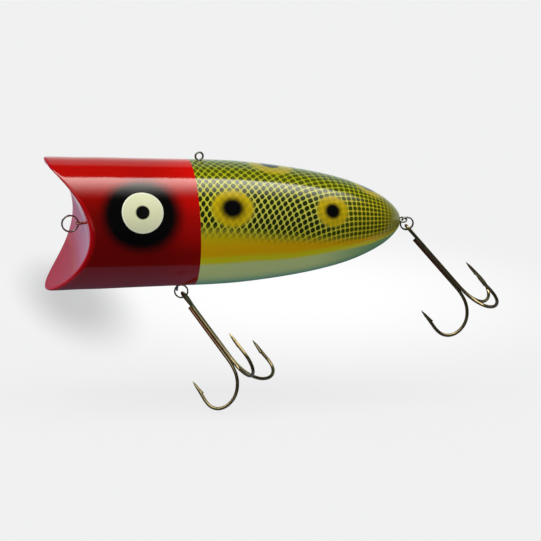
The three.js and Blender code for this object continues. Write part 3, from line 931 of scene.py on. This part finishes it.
hook_ring = dict(outer=HOOK_RING_OUTER, inner=HOOK_RING_INNER, height=1.0)
split_ring("nose", nose_hold, towards=Vector((-1, 0, -0.05)), normal=Y_AXIS,
           outer=7.5, inner=6.1, height=1.1, mat=NICKEL, start=2.2)
belly_ring = split_ring("belly", belly_hold, towards=Vector((0.966, 0, -0.26)),
                        normal=across_z(8), mat=RING, start=1.9, **hook_ring)
tail_ring = split_ring("tail", tail_hold, towards=Vector((0.17, 0, -0.98)),
                       normal=across_x(8), mat=NICKEL, start=4.0, **hook_ring)

# ---------------------------------------------------------------- treble hooks
HOOK_WIRE = 0.72                 # radius
HOOK_SIDES = 22
TRIAD = 0.875                    # distance of each wire from the common axis
EYE_TOP = 2.4                    # height of the hook eye above the ring wire
SINGLE_TOP = 7.4                 # where the single hook starts
# one hook from shank to spear: distance from the axis, distance down from the eye top
BEND = [(TRIAD, 35), (1.0, 37.2), (1.35, 39.6), (2.05, 42.1), (3.35, 44.6), (5.4, 47),
        (8.1, 48.8), (11.25, 49.6), (14.35, 49.35), (16.95, 47.95), (18.55, 45.6),
        (19.0, 42.7), (18.75, 39.4), (18.5, 36.5)]
POINT_OUT, POINT_DOWN = 18.45, 32.1
# half of the eye wire, up one side to the top: sideways, distance down
EYE_SIDE = TRIAD * sin(radians(120))
EYE_HALF = [(EYE_SIDE, 24.0), (EYE_SIDE, 16.0), (EYE_SIDE, 8.6), (0.95, 7.0), (1.5, 5.3),
            (1.9, 3.9), (2.0, 2.7), (1.68, 1.62), (0.98, 0.90), (0.0, 0.72)]
SPEAR = 5.2                      # length of the ground point
SPEAR_TIP = 0.035                # least radius of the point
BARB_START, BARB_END = 4.0, 6.7  # distances from the point
BARB_LIFT, BARB_LEAN = 0.62, 0.55
BARB_CREST = 0.86                # share of the barb length where it stops rising
BARB_SPREAD = 0.55               # only the side facing the shank is lifted
FILLET_TOP, FILLET_END, FILLET_STEPS = 8.0, 30.0, 90


def barb_lift(d):
    """height of the barb, 0 to 1, at a distance from the point"""
    share = (d - BARB_START) / (BARB_END - BARB_START)
    if share < BARB_CREST:
        return share ** 1.3
    return max(0.0, (1 - share) / (1 - BARB_CREST)) ** 0.5


def hook_shape(path, up, tips):
    """wire with ground points; tips list distances, inner direction and sense of the tangent"""
    rings = []
    for i, (centre, tangent, u, v) in enumerate(frames(path, up)):
        table, inner, sense = min(tips, key=lambda tip: tip[0][i])
        d = table[i] / MM
        r = HOOK_WIRE
        if d < SPEAR:
            r = max(SPEAR_TIP, HOOK_WIRE * (1 - (1 - d / SPEAR) ** 2.1) ** 0.9)
        ring = []
        for a in turns(HOOK_SIDES):
            outward = u * cos(a) + v * sin(a)
            raised, shift = r, 0.0
            facing = outward.dot(inner)
            if BARB_START < d < BARB_END and facing > BARB_SPREAD:
                weight = (facing - BARB_SPREAD) / (1 - BARB_SPREAD)
                lift = barb_lift(d)
                raised = r + BARB_LIFT * lift * weight ** 0.8
                shift = -sense * BARB_LEAN * lift * weight       # leans back to the bend
            ring.append(centre + outward * (raised * MM) + tangent * (shift * MM))
        rings.append(ring)
    return skin(rings, [path[0].copy(), path[-1].copy()])


def fillet_section(share, down, sign):
    """braze section: distance from the axis, sideways; tapers out at both ends"""
    full = min(1.0, share / 0.10) ** 0.5 * min(1.0, (1 - share) / 0.2) ** 0.6
    full *= 0.90 + 0.10 * sin(down * 2.3 + sign) * sin(down * 0.9)
    root, root_half = TRIAD * 0.5 + 0.27, 0.025
    face = TRIAD * 0.5 + 0.25 + 0.26 * max(0.05, full)
    half = 0.04 + 0.11 * max(0.03, full)
    section = [(root, -root_half)]
    for q in range(9):                           # hollow outer face
        side = -half + 2 * half * q / 8
        section.append((face - 0.03 * (1 - (side / half) ** 2), side))
    return section + [(root, root_half)]


def treble(tag, up, spread, ring, hang_angle, drop, reach):
    """up runs from bends to eye... along the shank; spread is the single hook's direction"""
    ring_centre, ring_normal = ring
    level = (X_AXIS - ring_normal * X_AXIS.dot(ring_normal)).normalized()
    down = ring_normal.cross(level).normalized()
    if down.z > 0:
        down.negate()
    hang = radians(hang_angle)
    pivot = (ring_centre + (level * cos(hang) + down * sin(hang))
             * ((HOOK_RING_OUTER + HOOK_RING_INNER) / 4 * MM))
    axis = up.normalized()
    u = (spread - axis * spread.dot(axis)).normalized()
    v = axis.cross(u)
    bronze = bronzed_steel(f"{tag}_bronzed_steel")
    stained = bronzed_steel(f"{tag}_stained_steel", shank=(pivot - axis * (EYE_TOP * MM), axis))

    def at(a, b, along):
        return pivot + u * (a * MM) + v * (b * MM) + axis * ((along - EYE_TOP) * MM)

    def polar(angle, r, along):
        return at(r * cos(angle), r * sin(angle), along)

    def hook_points(angle, shift, tip):
        """bend moved down by shift, then the spear up to the tip"""
        points = [polar(angle, r, along + shift) for r, along in BEND]
        r0, start = BEND[-1][0], BEND[-1][1] + shift
        return points + [polar(angle, r0 + (POINT_OUT - r0) * f, start + (tip - start) * f)
                         for f in (0.33, 0.66, 1.0)]

    def make_hook(kind, points, tip_list, mat):
        path = resample(smooth_path(points, 12), 0.22 * MM)
        first = (path[1] - path[0]).normalized()
        start_up = v if abs(first.dot(v)) < 0.9 else u
        ahead, behind = distances(path), distances(path[::-1])[::-1]
        tips = [(behind if sense > 0 else ahead, inner, sense) for inner, sense in tip_list]
        ob = make_object(f"{tag}_hook_{kind}", hook_shape(path, start_up, tips), mat, sharp=52)
        tell_kit(ob, f"{tag}_treble", f"{tag}_{kind}_hook")

    stem_end = BEND[0][1] + drop
    stem = [polar(0.0, TRIAD, SINGLE_TOP + (stem_end - SINGLE_TOP) * k / 8) for k in range(8)]
    make_hook("single", stem + hook_points(0.0, drop, POINT_DOWN + drop), [(-u, 1)], stained)

    # the double hook is one wire, point to point through the eye
    left, right = radians(120), radians(-120)
    back = TRIAD * cos(left)
    eye_points = ([at(back, side, along) for side, along in EYE_HALF]
                  + [at(back, -side, along) for side, along in EYE_HALF[-2::-1]])
    tip_list = [(-(u * cos(a) + v * sin(a)), sense) for a, sense in ((left, -1), (right, 1))]
    double_tip = POINT_DOWN - reach
    make_hook("double", hook_points(left, 0.0, double_tip)[::-1] + eye_points
              + hook_points(right, 0.0, double_tip), tip_list, bronze)

    # braze fillets in the two grooves beside the single hook
    for sign, side in ((1, "front"), (-1, "back")):
        angle = radians(60 * sign)
        outward = u * cos(angle) + v * sin(angle)
        sideways = axis.cross(outward)
        rings = []
        for i in range(FILLET_STEPS + 1):
            share = i / FILLET_STEPS
            along = FILLET_TOP + (FILLET_END - FILLET_TOP) * share
            rings.append([at(0, 0, along) + outward * (r * MM) + sideways * (s * MM)
                          for r, s in fillet_section(share, along, sign)])
        ob = make_object(f"{tag}_fillet_{side}", prism(rings), BRAZE, sharp=50)
        tell_kit(ob, f"{tag}_treble", f"{tag}_braze_{side}")


treble("belly", up=Vector((0.4989, -0.5627, -0.6591)), spread=Vector((-0.722, 0.1508, -0.6752)),
       ring=belly_ring, hang_angle=60, drop=0.85, reach=0.85)
treble("tail", up=Vector((0.6622, -0.17, -0.7298)), spread=Vector((-0.7343, 0.047, -0.6772)),
       ring=tail_ring, hang_angle=75, drop=0.35, reach=-0.3)

# ---------------------------------------------------------------- ballast inside the body
for name, mat in (("ballast_slug", LEAD), ("ballast_plug", FILLER)):
    # guards against a frame that lacks the piece or holds it without a mesh
    try:
        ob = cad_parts[name]
        ob = ob if not isinstance(ob, str) else bpy.data.objects[ob]
        ob.data.materials.clear()
        ob.data.materials.append(mat)
    except Exception:
        pass

# ---------------------------------------------------------------- camera
CAMERA_DISTANCE = 1200.0
VIEW_WIDTH = 227.22              # width of the view at the target
SENSOR_WIDTH = 36.0


def build_camera():
    swing, tilt, roll = radians(12), radians(14), radians(2.08)
    target = point(95.508, 0, -21.367)
    right = Vector((cos(swing), -sin(swing), 0))
    up = Vector((sin(swing) * sin(tilt), cos(swing) * sin(tilt), cos(tilt)))
    back = Vector((-sin(swing) * cos(tilt), -cos(swing) * cos(tilt), sin(tilt)))
    rolled_right = right * cos(roll) + up * sin(roll)
    rolled_up = -right * sin(roll) + up * cos(roll)
    data = bpy.data.cameras.new("camera")
    camera = bpy.data.objects.new("camera", data)
    bpy.context.scene.collection.objects.link(camera)
    pose = Matrix((rolled_right, rolled_up, back)).transposed().to_4x4()
    pose.translation = target + back * (CAMERA_DISTANCE * MM)
    camera.matrix_world = pose
    data.sensor_width = SENSOR_WIDTH
    data.lens = SENSOR_WIDTH * CAMERA_DISTANCE / VIEW_WIDTH
    data.clip_start = 0.05
    data.clip_end = 20
    bpy.context.scene.camera = camera


build_camera()

# ---------------------------------------------------------------- floor, in metres
FLOOR_SIZE, FLOOR_CELLS = 8, 48
FLOOR_GAP = 0.0012               # below the lowest piece
FLOOR_ALBEDO, FLOOR_GLOW = 0.075, 0.79


def floor_material():
    """self-lit paper; glossy and diffuse rays see their own versions of it"""
    mat = bpy.data.materials.new("pale_floor")
    tree = empty_tree(mat)
    coords = Value(add_node(tree, "ShaderNodeTexCoord").outputs["Object"])
    rays = add_node(tree, "ShaderNodeLightPath").outputs
    x, y, _ = split(coords)

    def pool(centre_x, centre_y, half_x, half_y):
        return fall(length((x - centre_x) / half_x, (y - centre_y) / half_y), lo=0.15, hi=1.0)

    paper = mix(noise(coords, scale=9.0, detail=3.0),
                grey(FLOOR_ALBEDO * 0.985), grey(FLOOR_ALBEDO * 1.015))
    diffuse = compute("ShaderNodeBsdfDiffuse", {0: paper})
    lit = pool(0.075, 0.17, half_x=0.17, half_y=0.16)            # light from under the belly
    shadow = pool(-0.030, 0.165, half_x=0.034, half_y=0.11)      # soft shade under the mouth
    own = glow(tree, "ShaderNodeEmission", (1, 1, 1), FLOOR_GLOW + lit * 0.125 - shadow * 0.34)
    seen = compute("ShaderNodeAddShader", {0: diffuse, 1: own})

    # reflections see a floor that is dark on the camera side and towards the mouth
    from_edge = y - ramp(x, lo=-0.05, hi=0.09, at_lo=-0.0475, at_hi=-0.036, kind="LINEAR")
    near = (ramp(from_edge, lo=-0.0025, hi=0.0025, at_lo=0.02, at_hi=0.31)
            * ramp(y, lo=-0.03, hi=0.05, at_lo=1.0, at_hi=0.36))
    aside = fall((x + 0.06) / y.max(0.01), lo=-0.12, hi=0.02)
    tint = mix(rise(y, lo=0.06, hi=0.30), (0.55, 0.66, 1.0),
               mix(aside, (0.90, 0.94, 1.0), (0.62, 0.67, 1.0)))
    far = (rise(y, lo=0.12, hi=0.40) * (0.82 - aside * 0.27)
           - aside * ramp(y, lo=0.30, hi=1.60, at_lo=0.0, at_hi=0.18))
    mirrored = glow(tree, "ShaderNodeEmission", tint, near + far)
    bounced = glow(tree, "ShaderNodeEmission", (0.92, 0.97, 1.0), 0.38)
    surface = mix_shader(Value(rays["Is Glossy Ray"]), seen, mirrored)
    surface = mix_shader(Value(rays["Is Diffuse Ray"]), surface, bounced)
    add_node(tree, "ShaderNodeOutputMaterial", {0: surface})
    return mat


def build_floor():
    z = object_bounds()[0][2] - FLOOR_GAP
    row = FLOOR_CELLS + 1
    ticks = [(i / FLOOR_CELLS - 0.5) * FLOOR_SIZE for i in range(row)]
    verts = [Vector((x, y, z)) for x in ticks for y in ticks]
    corners = [i * row + j for i in range(FLOOR_CELLS) for j in range(FLOOR_CELLS)]
    faces = [(q, q + row, q + row + 1, q + 1) for q in corners]
    make_object("floor", (verts, faces), floor_material())


build_floor()


# ---------------------------------------------------------------- light
def build_world():
    world = bpy.data.worlds.new("studio")
    bpy.context.scene.world = world
    tree = empty_tree(world)
    x, y, z = split(Value(add_node(tree, "ShaderNodeTexCoord").outputs["Generated"]))
    rays = add_node(tree, "ShaderNodeLightPath").outputs
    glossy = Value(rays["Is Glossy Ray"])
    height = calc("ARCTAN2", z, -y) * (180 / pi)     # 0 camera side, 90 overhead, 180 behind
    overhead = (rise(height, lo=50.0, hi=98.0).pow(1.7) * fall(height, lo=98.8, hi=100.2)
                * rise(x, lo=-0.97, hi=-0.80) * fall(x, lo=0.40, hi=0.78))
    mouth_side = fall(x, lo=-0.12, hi=0.06)
    behind = ((rise(height.abs(), lo=130.0, hi=137.0) * 0.40
               + rise(height.abs(), lo=146.0, hi=178.0) * 0.50) * (1.0 - mouth_side * 0.62))
    key = (rise(height, lo=36.0, hi=42.0) * fall(height, lo=56.0, hi=66.0)
           * rise(x, lo=-0.85, hi=-0.70) * fall(x, lo=-0.24, hi=-0.12))
    fill = (rise(height, lo=-8.0, hi=0.0) * fall(height, lo=10.0, hi=24.0)
            * fall(x, lo=0.05, hi=0.15) * rise(x, lo=-0.6, hi=-0.4))
    # strengths of the lights in reflections, and in everything else
    mirrored = 0.025 + behind + key * 2.6 + fill * 0.45
    soft = 0.335 + overhead * 4.9 + fall(x, lo=-0.80, hi=-0.55) * 1.25
    tint = mix(rise(height, lo=110.0, hi=130.0), (1.0, 0.97, 0.90),
               mix(mouth_side, (0.84, 1.0, 0.97), (0.62, 0.66, 1.0)))
    lights = glow(tree, "ShaderNodeBackground", mix(glossy, (0.965, 0.985, 1.0), tint),
                  (mirrored + overhead * 8.6) * glossy + soft * (1.0 - glossy))
    backdrop = glow(tree, "ShaderNodeBackground", (1, 1, 1), 0.88)
    surface = mix_shader(Value(rays["Is Camera Ray"]), lights, backdrop)
    add_node(tree, "ShaderNodeOutputWorld", {0: surface})


build_world()
bpy.context.scene.view_settings.view_transform = "Standard"
bpy.context.scene.view_settings.look = "None"
